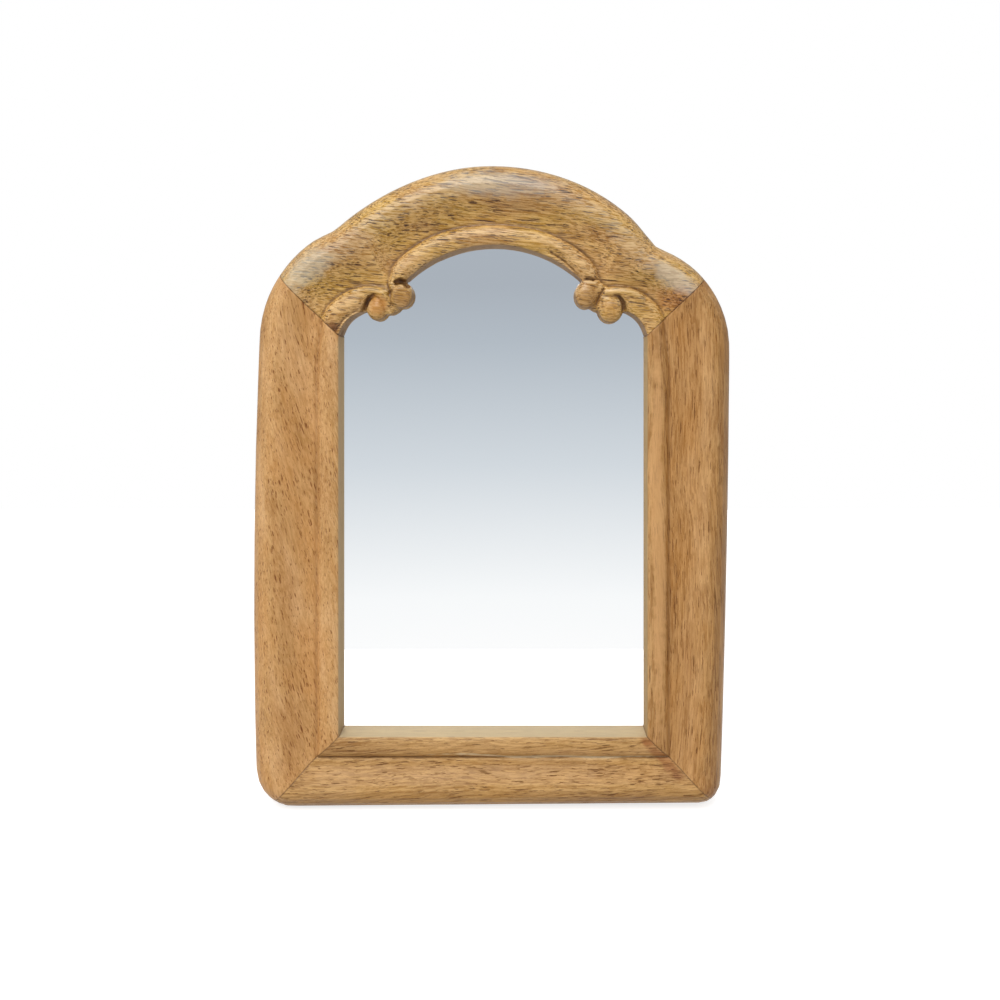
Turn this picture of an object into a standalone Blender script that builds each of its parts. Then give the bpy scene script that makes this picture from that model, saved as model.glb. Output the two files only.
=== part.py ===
"""Small arched wall mirror in a hand-carved hardwood frame.

Four mitred members carry a front bead, a quirk and a rounded outer edge. The
top rail is carved: its bead follows the arch, and scrolls end in round eyes
at each side. The glass and its backing board lie in a rebate behind the lip,
held by brads. V-nails pull the mitres together. A D-ring hangs in a strap on
the back of the top rail.

The mirror faces -Y, +X is to its right as it is looked at, and +Z is up. The
origin is at the middle of its width and of its whole depth, on the level of
its lowest edge. Lengths are in metres.
"""
import math

import bmesh
import bpy
from mathutils import Vector

for stale in list(bpy.data.objects):
    bpy.data.objects.remove(stale, do_unlink=True)

# Sight opening, measured at the lip; arch sizes are shares of half its width
sight_width = 0.0975
sight_height = 0.1544
arch_radius_share = 0.8267
arch_half_angle = math.radians(61.7)
spring_drop_share = 0.5867
side_arc_rise_share = 0.23

# Outline of the frame, with what the carver left unlike on the two sides
bottom_rail_width = 0.0232
crest_rail_width = 0.0258
crest_offset = -0.0008
crest_radius_share = {"left": 0.9485, "right": 0.8939}
crest_swell = {"left": -0.0011, "right": 0.0008}
stile_foot_width = {"left": 0.0270, "right": 0.0234}
stile_shoulder_width = {"left": 0.0260, "right": 0.0262}
stile_bow = {"left": 0.0012, "right": 0.0005}
corner_radius = {"left": 0.0126, "right": 0.0076}
corner_lift = {"left": 0, "right": 0.0010}
shoulder_drop = {"left": 0.0017, "right": 0.0036}
shoulder_radius_share = {"left": 0.511, "right": 0.4523}
notch_radius = {"left": 0.0080, "right": 0.0004}
top_mitre_angle = math.radians(45)
bottom_mitre_angle = math.radians(45)

# Section of the moulding, heights measured from the back
frame_thickness = 0.0200
outer_wall_height = 0.0110
roundover_width = 0.0070
bead_width = 0.0067
bead_overhang = 0.0012
bead_crown_height = 0.0176
quirk_height = 0.0153
quirk_width = 0.0005
field_arris_height = 0.0163
bead_sink = 0.0002
rebate_depth = 0.0122
rebate_width = 0.0050

# Carving on the top rail
arch_bead_half_angle = math.radians(50.8)
arch_bead_width = 0.0064
arch_bead_swell = 0.0007
arch_bead_tip_width = 0.0036
side_bead_width = 0.0078
side_bead_hook_width = 0.0032
side_bead_tip_width = 0.0018
bead_tip_drop = 0.0009
cove_arris_height = 0.0156
arch_bead_narrow_share = 0.82
mitre_bead_share = 0.80
hook_start_share = 0.52
hook_end_share = 0.86
big_eye_angle = math.radians(49.5)
big_eye_distance_share = 0.945
big_eye_radius = {"left": 0.0035, "right": 0.0036}
big_eye_height = 0.0181
big_eye_length_share = 1.2
small_eye_angle = math.radians(60.9)
small_eye_distance_share = 1.045
small_eye_radius = {"left": 0.0034, "right": 0.0041}
small_eye_height = 0.0176
small_eye_length_share = 1.15
eye_dome_rise = 0.0026
web_radius = {"left": 0.0041, "right": 0.0032}
web_height = 0.0162

# Glass, board and what holds them
glass_thickness = 0.0030
board_thickness = 0.0030
brad_length = 0.0125
brad_radius = 0.0006
brad_head_radius = 0.0010
brad_head_thickness = 0.0004
brad_point_length = 0.0012
brad_drive_share = 0.5
brad_place_shares = (0.22, 0.78)
brad_arch_angle = math.radians(26)

# V-nails across the mitres
v_nail_leg = 0.0050
v_nail_thickness = 0.0005
v_nail_height = 0.0080
v_nail_place_shares = (0.30, 0.72)

# Hanger on the back of the top rail
strap_thickness = 0.0008
strap_width = 0.0060
strap_foot_length = 0.0066
ring_wire_radius = 0.0008
ring_reach = 0.0083
ring_corner_radius = 0.0014
ring_edge_margin = 0.0008
screw_head_radius = 0.0020
screw_head_height = 0.0011
screw_shank_radius = 0.0011
screw_length = 0.0090
screw_point_length = 0.0022
screw_slot_width = 0.0005
screw_slot_depth = 0.0005

# Clearances
seat_gap = 0.0003
mitre_gap = 0.0003
cutter_overrun = 0.0020
weld_distance = 0.00001

# Facets
bead_steps = 8
ogee_steps = 5
roundover_steps = 5
corner_steps = 8
side_steps = 8
shoulder_steps = 14
notch_steps = 4
crest_steps = 24
arch_steps = 30
side_arc_steps = 12
turn_steps = 16
small_turn_steps = 10
turn_stations = 9
plain_stations = 4
turn_run_share = 0.085
turn_ease = 1.3
settle_stations = 6
least_station_turn = math.radians(0.8)
steepest_edge = math.radians(60)
crease_angle = math.radians(40)

# Derived sizes
sight_half = sight_width / 2
sight_bottom = bottom_rail_width
sight_top_z = sight_bottom + sight_height
overall_height = sight_top_z + crest_rail_width
arch_radius = sight_half * arch_radius_share
sight_corner_z = sight_top_z - sight_half * spring_drop_share
arch_centre = Vector((0, sight_top_z - arch_radius))
loop_outer_radius = ring_wire_radius + seat_gap + strap_thickness
hanger_depth = seat_gap + 2 * loop_outer_radius
back_y = (frame_thickness - hanger_depth) / 2
bead_centre_height = quirk_height - bead_sink
bead_half_height = bead_crown_height - bead_centre_height
bead_half_width = (bead_width + bead_overhang) / 2
bead_centre = (bead_width - bead_overhang) / 2
bead_root_height = (rebate_depth + quirk_height) / 2
signs = {"left": -1, "right": 1}


def direction(angle):
    return Vector((math.cos(angle), math.sin(angle)))


def arc(centre, radius, start, end, steps):
    """Points on an arc, both ends included."""
    turns = [start + (end - start) * step / steps for step in range(steps + 1)]
    return [centre + radius * direction(turn) for turn in turns]


def circles_meet(centre_a, radius_a, centre_b, radius_b):
    """The upper of the two points where two circles cross."""
    span = centre_b - centre_a
    distance = span.length
    along = (radius_a ** 2 - radius_b ** 2 + distance ** 2) / (2 * distance)
    across = math.sqrt(max(radius_a ** 2 - along ** 2, 0))
    unit = span / distance
    normal = Vector((-unit.y, unit.x))
    if normal.y < 0:
        normal = -normal
    return centre_a + along * unit + across * normal


def heading(vector):
    return math.atan2(vector.y, vector.x)


def smooth(share):
    share = min(max(share, 0), 1)
    return share * share * (3 - 2 * share)


def mirrored(points, sign):
    return [Vector((sign * point.x, point.y)) for point in points]


def ray_hit(outline, origin, way):
    """Where a ray from inside last crosses a line of points, and the line's normal there."""
    best = None
    for start, end in zip(outline, outline[1:]):
        edge = end - start
        cross = way.x * edge.y - way.y * edge.x
        if abs(cross) < weld_distance ** 2:
            continue
        gap = start - origin
        distance = (gap.x * edge.y - gap.y * edge.x) / cross
        share = (gap.x * way.y - gap.y * way.x) / cross
        inside = -weld_distance <= share <= 1 + weld_distance
        if inside and distance > 0 and (best is None or distance > best[0]):
            normal = Vector((edge.y, -edge.x)).normalized()
            best = (distance, normal)
    return best


# The sight opening's arcs, drawn for the left side and mirrored for the right
arch_end = arch_centre + arch_radius * direction(math.pi / 2 + arch_half_angle)
sight_corner = Vector((-sight_half, sight_corner_z))
side_chord = arch_end - sight_corner
side_arc_rise = side_chord.length * side_arc_rise_share
side_arc_radius = side_chord.length ** 2 / (8 * side_arc_rise) + side_arc_rise / 2
side_inward = Vector((side_chord.y, -side_chord.x)).normalized()
side_middle = (arch_end + sight_corner) / 2
side_arc_centre = side_middle + side_inward * (side_arc_radius - side_arc_rise)
side_start_angle = heading(sight_corner - side_arc_centre)
side_end_angle = heading(arch_end - side_arc_centre)
mitre_angle = math.pi - top_mitre_angle


def sight_top():
    """The carved upper edge of the opening, from its left corner to its right."""
    side = arc(side_arc_centre, side_arc_radius, side_start_angle, side_end_angle, side_arc_steps)
    start = math.pi / 2 + arch_half_angle
    crown = arc(arch_centre, arch_radius, start, math.pi - start, arch_steps)
    return side + crown[1:-1] + mirrored(side, -1)[::-1]


def half_outline(hand):
    """Outer edge of one side, from the bottom's corner up to the crest's top."""
    foot = sight_half + stile_foot_width[hand]
    shoulder = sight_half + stile_shoulder_width[hand]
    corner = corner_radius[hand]
    rise = sight_corner_z - shoulder_drop[hand]
    radius = shoulder * shoulder_radius_share[hand]
    notch = notch_radius[hand]
    corner_centre = Vector((foot - corner, corner + corner_lift[hand]))
    points = arc(corner_centre, corner, -math.pi / 2, 0, corner_steps)
    for step in range(1, side_steps):
        share = step / side_steps
        bow = 4 * stile_bow[hand] * share * (1 - share)
        across = foot + (shoulder - foot) * share + bow
        points.append(Vector((across, corner_centre.y + (rise - corner_centre.y) * share)))
    shoulder_centre = Vector((shoulder - radius, rise))
    crest = shoulder * crest_radius_share[hand]
    crest_centre = Vector((signs[hand] * crest_offset, overall_height - crest))
    notch_centre = circles_meet(shoulder_centre, radius + notch, crest_centre, crest + notch)
    shoulder_end = heading(notch_centre - shoulder_centre)
    crest_start = heading(notch_centre - crest_centre)
    points += arc(shoulder_centre, radius, 0, shoulder_end, shoulder_steps)
    fillet_start = shoulder_end - math.pi
    fillet_end = crest_start - math.pi
    points += arc(notch_centre, notch, fillet_start, fillet_end, notch_steps)[1:-1]
    for step, point in enumerate(arc(crest_centre, crest, crest_start, math.pi / 2, crest_steps)):
        point.x += crest_swell[hand] * math.sin(math.pi * step / crest_steps)
        points.append(point)
    return mirrored(points, signs[hand])


def frame_outline():
    """Closed outer edge, anticlockwise from the bottom's right corner."""
    right = half_outline("right")
    left = half_outline("left")
    return right + left[::-1][1:] + [right[0]]


outline = frame_outline()
sight_x = -(max(p.x for p in outline) + min(p.x for p in outline)) / 2


def at(point, height):
    """A point of the front view, raised from the back plane towards the front."""
    return Vector((point.x + sight_x, back_y - height, point.y))


parts = bpy.data.collections.new("arched_mirror")
cutters = bpy.data.collections.new("cutters")
for collection in (parts, cutters):
    bpy.context.scene.collection.children.link(collection)


def finish(name, colour, roughness, metallic=0.0):
    material = bpy.data.materials.new(name)
    material.use_nodes = True
    shader = material.node_tree.nodes["Principled BSDF"]
    shader.inputs["Base Color"].default_value = (*colour, 1)
    shader.inputs["Roughness"].default_value = roughness
    shader.inputs["Metallic"].default_value = metallic
    return material


top_wood = finish("golden_hardwood", (0.42, 0.25, 0.09), 0.42)
left_wood = finish("pink_hardwood", (0.53, 0.29, 0.12), 0.45)
right_wood = finish("brown_hardwood", (0.47, 0.28, 0.12), 0.45)
bottom_wood = finish("straw_hardwood", (0.54, 0.33, 0.14), 0.45)
silvered_glass = finish("silvered_glass", (0.86, 0.89, 0.91), 0.02, 1.0)
hardboard = finish("hardboard", (0.16, 0.09, 0.05), 0.75)
bright_steel = finish("bright_steel", (0.56, 0.57, 0.58), 0.35, 1.0)
brass_plate = finish("brass_plate", (0.72, 0.50, 0.20), 0.30, 1.0)


def add(name, mesh, material=None, guide=False):
    """Put a mesh in the scene as a part, or as a guide that cuts or is joined."""
    thing = bpy.data.objects.new(name, mesh)
    (cutters if guide else parts).objects.link(thing)
    if material:
        mesh.materials.append(material)
    if guide:
        thing.hide_render = True
        thing.display_type = "WIRE"
    return thing


def combine(target, other, operation):
    change = target.modifiers.new(other.name, "BOOLEAN")
    change.operation = operation
    change.object = other
    change.solver = "EXACT"


def loft(name, rings, material=None, guide=False):
    """A closed body through rings of points, with flat ends."""
    mesh = bpy.data.meshes.new(name)
    work = bmesh.new()
    loops = [[work.verts.new(point) for point in ring] for ring in rings]
    count = len(loops[0])
    for near, far in zip(loops, loops[1:]):
        for index in range(count):
            after = (index + 1) % count
            work.faces.new((near[index], near[after], far[after], far[index]))
    work.faces.new(loops[0])
    work.faces.new(loops[-1])
    bmesh.ops.recalc_face_normals(work, faces=work.faces)
    work.to_mesh(mesh)
    work.free()
    return add(name, mesh, material, guide)


def prism(name, points, low, high, material=None, guide=False):
    """A flat outline of the front view, thick from one height to another."""
    rings = [[at(point, low) for point in points], [at(point, high) for point in points]]
    return loft(name, rings, material, guide)


def turned(name, profile, material=None, guide=False, steps=turn_steps):
    """A turned piece: radius and height pairs down its outer side, turned round Z."""
    mesh = bpy.data.meshes.new(name)
    edges = [(index, index + 1) for index in range(len(profile) - 1)]
    mesh.from_pydata([(radius, 0, height) for radius, height in profile], edges, [])
    thing = add(name, mesh, material, guide)
    screw = thing.modifiers.new("turn", "SCREW")
    screw.steps = screw.render_steps = steps
    screw.use_merge_vertices = True
    screw.merge_threshold = weld_distance
    return thing


def field(quirk, outer, stretch, edge_stretch, arris):
    """Distance and height pairs of the face from the quirk out to the back edge."""
    arris_at = quirk + quirk_width * stretch
    ridge_at = outer - roundover_width * edge_stretch
    pairs = [(quirk, quirk_height)]
    for step in range(ogee_steps + 1):
        share = step / ogee_steps
        rise = (frame_thickness - arris) * smooth(share)
        pairs.append((arris_at + (ridge_at - arris_at) * share, arris + rise))
    for step in range(1, roundover_steps + 1):
        turn = math.pi / 2 * step / roundover_steps
        drop = (frame_thickness - outer_wall_height) * math.cos(turn)
        reach = roundover_width * edge_stretch * math.sin(turn)
        pairs.append((ridge_at + reach, outer_wall_height + drop))
    return pairs + [(outer, 0)]


def bead_face(stretch):
    """Distance and height pairs over the bead, from the lip's arris to the quirk."""
    start = math.acos(bead_centre / bead_half_width)
    end = math.pi - math.asin(bead_sink / bead_half_height)
    pairs = []
    for step in range(bead_steps):
        turn = start + (end - start) * step / bead_steps
        across = bead_centre - bead_half_width * math.cos(turn)
        pairs.append((across * stretch, bead_centre_height + bead_half_height * math.sin(turn)))
    return pairs


def moulding_ring(corner, angle, normal_angle, bead_share):
    """The whole section on a ray from a point of the sight edge."""
    way = direction(angle)
    distance, edge_normal = ray_hit(outline, corner, way)
    stretch = 1 / abs(math.cos(angle - normal_angle))
    edge_stretch = 1 / max(abs(way.dot(edge_normal)), math.cos(steepest_edge))
    bead_stretch = stretch * bead_share
    pairs = [(0, 0)] + bead_face(bead_stretch)
    pairs += field(bead_width * bead_stretch, distance, stretch, edge_stretch, field_arris_height)
    return [at(corner + way * along, height) for along, height in pairs]


def shift_ring(ring, angle):
    """Draw an end back from its mitre by half of the joint's gap."""
    way = direction(angle) * mitre_gap / 2
    return [point + Vector((way.x, 0, way.y)) for point in ring]


def straight_member(name, start, end, start_angle, end_angle, normal_angle, end_share, material):
    """A member whose sight edge is straight, turning to its two mitres near its ends."""
    stations = []
    for step in range(turn_stations):
        share = (step / turn_stations) ** turn_ease
        turn = start_angle + (normal_angle - start_angle) * share
        stations.append((turn_run_share * share, turn, 1))
    for step in range(plain_stations + 1):
        share = turn_run_share + (1 - 2 * turn_run_share) * step / plain_stations
        stations.append((share, normal_angle, 1))
    for step in range(turn_stations - 1, -1, -1):
        share = (step / turn_stations) ** turn_ease
        turn = end_angle + (normal_angle - end_angle) * share
        bead_share = end_share + (1 - end_share) * smooth(share)
        stations.append((1 - turn_run_share * share, turn, bead_share))
    run = end - start
    rings = [moulding_ring(start + run * along, turn, normal_angle, bead_share)
             for along, turn, bead_share in stations]
    rings[0] = shift_ring(rings[0], start_angle + math.copysign(math.pi / 2, normal_angle - start_angle))
    rings[-1] = shift_ring(rings[-1], end_angle + math.copysign(math.pi / 2, normal_angle - end_angle))
    return loft(name, rings, material)


bottom_left = Vector((-sight_half, sight_bottom))
bottom_right = Vector((sight_half, sight_bottom))
top_left = Vector((-sight_half, sight_corner_z))
top_right = Vector((sight_half, sight_corner_z))

left_stile = straight_member(
    "left_stile", bottom_left, top_left,
    math.pi + bottom_mitre_angle, math.pi - top_mitre_angle, math.pi, mitre_bead_share, left_wood)
right_stile = straight_member(
    "right_stile", bottom_right, top_right,
    -bottom_mitre_angle, top_mitre_angle, 0, mitre_bead_share, right_wood)
bottom_rail = straight_member(
    "bottom_rail", bottom_left, bottom_right,
    math.pi + bottom_mitre_angle, 2 * math.pi - bottom_mitre_angle, 3 * math.pi / 2, 1, bottom_wood)


def side_bead_pairs():
    """Inner and outer edge of the left side bead, and each pair's share of its length."""
    pairs = []
    mitre_stretch = mitre_bead_share / math.cos(top_mitre_angle)
    mitre_width = bead_width * mitre_stretch
    mitre_overhang = bead_overhang * mitre_stretch
    for step in range(side_arc_steps + 1):
        share = step / side_arc_steps
        turn = side_start_angle + (side_end_angle - side_start_angle) * share
        way = direction(min(turn, mitre_angle))
        start = side_arc_centre + side_arc_radius * direction(turn)
        settle = smooth(share / hook_start_share)
        width = mitre_width + (side_bead_width - mitre_width) * settle
        overhang = mitre_overhang + (bead_overhang - mitre_overhang) * settle
        hook = smooth((share - hook_start_share) / (hook_end_share - hook_start_share))
        tip = smooth((share - hook_end_share) / (1 - hook_end_share))
        left_over = side_bead_hook_width + (side_bead_tip_width - side_bead_hook_width) * tip
        inner = start + way * ((width + overhang - left_over) * hook - overhang)
        pairs.append((inner, start + way * width, share))
    back = direction(mitre_angle - math.pi / 2) * mitre_gap / 2
    inner, outer, share = pairs[0]
    return [(inner + back, outer + back, share)] + pairs[1:]


def arch_bead_pairs():
    """Inner and outer edge of the arch's bead, from left to right."""
    pairs = []
    for step in range(arch_steps + 1):
        share = 2 * step / arch_steps - 1
        way = direction(math.pi / 2 - arch_bead_half_angle * share)
        swell = arch_bead_swell * math.sin(math.pi * share) ** 2
        narrow = smooth((abs(share) - arch_bead_narrow_share) / (1 - arch_bead_narrow_share))
        full = arch_bead_width + swell
        width = full + (arch_bead_tip_width - full) * narrow
        inner = arch_centre + way * (arch_radius - bead_overhang)
        pairs.append((inner, arch_centre + way * (arch_radius + width), narrow))
    return pairs


def bead_body(name, pairs):
    """A raised bead on inner and outer edges, its crown lower where it narrows."""
    rings = []
    for inner, outer, narrow in pairs:
        middle = (inner + outer) / 2
        reach = (outer - inner) / 2
        rise = bead_half_height - bead_tip_drop * narrow
        ring = [at(inner, bead_root_height)]
        for step in range(bead_steps + 1):
            turn = math.pi * step / bead_steps
            height = bead_centre_height + rise * math.sin(turn)
            ring.append(at(middle - reach * math.cos(turn), height))
        rings.append(ring + [at(outer, bead_root_height)])
    return loft(name, rings, guide=True)


side_pairs = side_bead_pairs()
side_taper = [(inner, outer, smooth((share - hook_start_share) / (1 - hook_start_share)))
              for inner, outer, share in side_pairs]
arch_pairs = arch_bead_pairs()
mitre_focus = Vector((0, sight_corner_z - sight_half * math.tan(top_mitre_angle)))


def rail_ground():
    """The top rail before its beads: rays from where its two mitres would meet."""
    side_edge = [outer for inner, outer, share in side_pairs]
    quirk_line = side_edge + [outer for inner, outer, narrow in arch_pairs]
    quirk_line += mirrored(side_edge, -1)[::-1]
    sight_line = sight_top()
    stations = []
    for index, quirk in enumerate(quirk_line):
        turn = heading(quirk - mitre_focus)
        last = index == len(quirk_line) - 1
        if not stations or stations[-1][0] - turn > least_station_turn or last:
            stations.append((turn, (quirk - mitre_focus).length))
    rings = []
    for index, (turn, quirk_at) in enumerate(stations):
        way = direction(turn)
        outer_at, edge_normal = ray_hit(outline, mitre_focus, way)
        from_end = min(index, len(stations) - 1 - index)
        stretch = 1 / math.cos(top_mitre_angle) if from_end == 0 else 1
        edge_stretch = 1 / max(abs(way.dot(edge_normal)), math.cos(steepest_edge))
        settle = smooth(from_end / settle_stations)
        arris = field_arris_height + (cove_arris_height - field_arris_height) * settle
        inner_at = ray_hit(sight_line, mitre_focus, way)[0] - bead_overhang * stretch
        pairs = [(inner_at, 0), (inner_at, quirk_height)]
        pairs += field(quirk_at, outer_at, stretch, edge_stretch, arris)
        rings.append([at(mitre_focus + way * along, height) for along, height in pairs])
    rings[0] = shift_ring(rings[0], mitre_angle - math.pi / 2)
    rings[-1] = shift_ring(rings[-1], top_mitre_angle + math.pi / 2)
    return loft("top_rail", rings, top_wood)


def eye(name, centre, radius, top, length_share):
    """A round scroll end: a post under a dome, its foot in the wood in front of the rebate."""
    foot = rebate_depth + seat_gap * length_share
    profile = [(0, top)]
    for step in range(1, roundover_steps + 1):
        turn = math.pi / 2 * step / roundover_steps
        profile.append((radius * math.sin(turn), top - eye_dome_rise * (1 - math.cos(turn))))
    profile += [(radius, foot), (0, foot)]
    post = turned(name, profile, guide=True)
    post.location = at(centre, 0)
    post.rotation_euler = (math.pi / 2, 0, 0)
    post.scale.y = length_share
    return post


# Rebate, with an arched top that clears the carved lip. It is cut before the
# rail is carved, so each cut meets plain faces
rebate_half = sight_half + rebate_width
rebate_bottom = sight_bottom - rebate_width
rebate_crown = sight_top_z + rebate_width


def arched_plate(inset):
    """Outline of the rebate, or of a plate that fits it with a gap all round."""
    half = rebate_half - inset
    rise = rebate_crown - inset - sight_corner_z
    radius = (half ** 2 + rise ** 2) / (2 * rise)
    centre = Vector((0, rebate_crown - inset - radius))
    spring = math.atan2(sight_corner_z - centre.y, half)
    floor = rebate_bottom + inset
    points = arc(centre, radius, spring, math.pi - spring, arch_steps)
    return points + [Vector((-half, floor)), Vector((half, floor))], centre, radius


rebate_points, rebate_centre, rebate_radius = arched_plate(0)
rebate = prism("rebate", rebate_points, -cutter_overrun, rebate_depth, guide=True)
top_rail = rail_ground()
members = (top_rail, left_stile, right_stile, bottom_rail)
for member in members:
    combine(member, rebate, "DIFFERENCE")

# Carving of the top rail
combine(top_rail, bead_body("arch_bead", arch_pairs), "UNION")
for hand, sign in signs.items():
    pairs = [(Vector((-sign * inner.x, inner.y)), Vector((-sign * outer.x, outer.y)), narrow)
             for inner, outer, narrow in side_taper]
    bead = bead_body(f"{hand}_side_bead", pairs)
    combine(top_rail, bead, "UNION")

opening_outline = sight_top()
opening_floor = (sight_corner_z + sight_bottom) / 2
opening_outline += [Vector((sight_half, opening_floor)), Vector((-sight_half, opening_floor))]
opening = prism("sight_opening", opening_outline, -cutter_overrun,
                frame_thickness + cutter_overrun, guide=True)
combine(top_rail, opening, "DIFFERENCE")


def from_arch(sign, angle, distance_share):
    """A point at an angle from the vertical through the arch's centre."""
    return arch_centre + arch_radius * distance_share * direction(math.pi / 2 - sign * angle)


for hand, sign in signs.items():
    big_centre = from_arch(sign, big_eye_angle, big_eye_distance_share)
    small_centre = from_arch(sign, small_eye_angle, small_eye_distance_share)
    web_centre = (big_centre + small_centre) / 2
    for name, centre, radius, top, length_share in (
            ("web", web_centre, web_radius[hand], web_height, 1),
            ("big_eye", big_centre, big_eye_radius[hand], big_eye_height, big_eye_length_share),
            ("small_eye", small_centre, small_eye_radius[hand], small_eye_height, small_eye_length_share)):
        combine(top_rail, eye(f"{hand}_{name}", centre, radius, top, length_share), "UNION")

# Glass and board
glass_front = rebate_depth - seat_gap
glass_back = glass_front - glass_thickness
board_front = glass_back - seat_gap
board_back = board_front - board_thickness
plate_points = arched_plate(seat_gap)[0]
prism("mirror_glass", plate_points, glass_back, glass_front, silvered_glass)
prism("backing_board", plate_points, board_back, board_front, hardboard)

# Brads, driven into the rebate's walls close behind the board
brad_height = board_back - seat_gap - brad_head_radius
brad_sites = []
for place, share in zip(("lower", "upper"), brad_place_shares):
    level = rebate_bottom + (sight_corner_z - rebate_bottom) * share
    brad_sites.append((f"brad_left_{place}", left_stile, Vector((-rebate_half, level)), math.pi))
    brad_sites.append((f"brad_right_{place}", right_stile, Vector((rebate_half, level)), 0))
for hand, share in zip(("left", "right"), brad_place_shares):
    across = rebate_half * (2 * share - 1)
    foot = Vector((across, rebate_bottom))
    brad_sites.append((f"brad_bottom_{hand}", bottom_rail, foot, -math.pi / 2))
for hand, sign in signs.items():
    turn = math.pi / 2 - sign * brad_arch_angle
    seat = rebate_centre + rebate_radius * direction(turn)
    brad_sites.append((f"brad_top_{hand}", top_rail, seat, turn))

brad_driven = brad_length * brad_drive_share
brad_profile = [
    (0, brad_driven),
    (brad_radius, brad_driven - brad_point_length),
    (brad_radius, brad_driven - brad_length + brad_head_thickness),
    (brad_head_radius, brad_driven - brad_length + brad_head_thickness),
    (brad_head_radius, brad_driven - brad_length),
    (0, brad_driven - brad_length)]
hole_radius = brad_radius + seat_gap
hole_profile = [
    (0, brad_driven + seat_gap),
    (hole_radius, brad_driven + seat_gap),
    (hole_radius, -cutter_overrun),
    (0, -cutter_overrun)]


def aim(thing, point, height, turn):
    """Place a turned piece with its Z axis along a heading of the front view."""
    thing.location = at(point, height)
    thing.rotation_euler = (0, math.pi / 2 - turn, 0)


for name, member, seat, turn in brad_sites:
    aim(turned(name, brad_profile, bright_steel, steps=small_turn_steps), seat, brad_height, turn)
    hole = turned(f"{name}_hole", hole_profile, guide=True, steps=small_turn_steps)
    aim(hole, seat, brad_height, turn)
    combine(member, hole, "DIFFERENCE")


def v_strip(name, apex, turn, leg, low, high, thickness, material=None, guide=False):
    """A strip bent to a right angle across a mitre, its edge on the joint."""
    wings = (turn + math.pi - math.pi / 4, turn + math.pi + math.pi / 4)
    line = [apex + direction(wings[0]) * leg, apex, apex + direction(wings[1]) * leg]
    mesh = bpy.data.meshes.new(name)
    corners = [at(point, height) for point in line for height in (low, high)]
    mesh.from_pydata(corners, [], [(0, 2, 3, 1), (2, 4, 5, 3)])
    strip = add(name, mesh, material, guide)
    wall = strip.modifiers.new("wall", "SOLIDIFY")
    wall.thickness = thickness
    wall.offset = 0
    wall.use_even_offset = True
    return strip


mitres = {
    "bottom_left": (bottom_left, math.pi + bottom_mitre_angle, (left_stile, bottom_rail)),
    "bottom_right": (bottom_right, -bottom_mitre_angle, (right_stile, bottom_rail)),
    "top_left": (top_left, mitre_angle, (left_stile, top_rail)),
    "top_right": (top_right, top_mitre_angle, (right_stile, top_rail))}
for corner_name, (corner, turn, pair) in mitres.items():
    way = direction(turn)
    length = ray_hit(outline, corner, way)[0]
    rebate_reach = max(rebate_width / abs(way.x), rebate_width / abs(way.y))
    for place, share in zip(("inner", "outer"), v_nail_place_shares):
        room = length - rebate_reach - 2 * v_nail_thickness
        apex = corner + way * (rebate_reach + v_nail_leg / 2 + (room - v_nail_leg) * share)
        name = f"v_nail_{corner_name}_{place}"
        v_strip(name, apex, turn, v_nail_leg, seat_gap, v_nail_height, v_nail_thickness, bright_steel)
        slot = v_strip(f"{name}_slot", apex, turn, v_nail_leg + seat_gap, -cutter_overrun,
                       v_nail_height + seat_gap, v_nail_thickness + 2 * seat_gap, guide=True)
        for member in pair:
            combine(member, slot, "DIFFERENCE")

# Hanger: a strap folded round the ring's bar, its foot screwed on below the fold
ring_depth = -seat_gap - loop_outer_radius
ring_z = overall_height - ring_edge_margin - ring_wire_radius - ring_reach
ring_x = crest_offset


def strap_outline():
    """The strap seen from its side: distance behind the wood and height over the bar."""
    centre = Vector((seat_gap + loop_outer_radius, 0))
    fold = arc(centre, loop_outer_radius, math.pi, -math.pi / 2, turn_steps)
    bore = arc(centre, ring_wire_radius + seat_gap, 0, 2 * math.pi, turn_steps)[:-1]
    foot_outer = seat_gap + strap_thickness
    throat = math.sqrt(loop_outer_radius ** 2 - (loop_outer_radius - strap_thickness) ** 2)
    kept = [point for point in fold if point.y > -throat or point.x > foot_outer]
    outer = kept + [Vector((foot_outer, -throat)), Vector((foot_outer, -strap_foot_length)),
                    Vector((seat_gap, -strap_foot_length))]
    return outer, bore


def strap_part():
    outer, bore = strap_outline()
    curve = bpy.data.curves.new("hanger_strap", "CURVE")
    curve.dimensions = "2D"
    curve.fill_mode = "BOTH"
    curve.extrude = strap_width / 2
    for points in (outer, bore):
        spline = curve.splines.new("POLY")
        spline.points.add(len(points) - 1)
        spline.use_cyclic_u = True
        for target, point in zip(spline.points, points):
            target.co = (point.x, point.y, 0, 1)
    sketch = bpy.data.objects.new("strap_sketch", curve)
    cutters.objects.link(sketch)
    sketch.rotation_euler = (math.pi / 2, 0, math.pi / 2)
    sketch.location = at(Vector((ring_x, ring_z)), 0)
    bpy.context.view_layer.update()
    solid = bpy.data.meshes.new_from_object(sketch.evaluated_get(bpy.context.evaluated_depsgraph_get()))
    work = bmesh.new()
    work.from_mesh(solid)
    bmesh.ops.remove_doubles(work, verts=work.verts, dist=weld_distance)
    work.to_mesh(solid)
    work.free()
    placed = sketch.matrix_world.copy()
    bpy.data.objects.remove(sketch)
    bpy.data.curves.remove(curve)
    strap = add("hanger_strap", solid, brass_plate)
    strap.matrix_world = placed
    return strap


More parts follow.
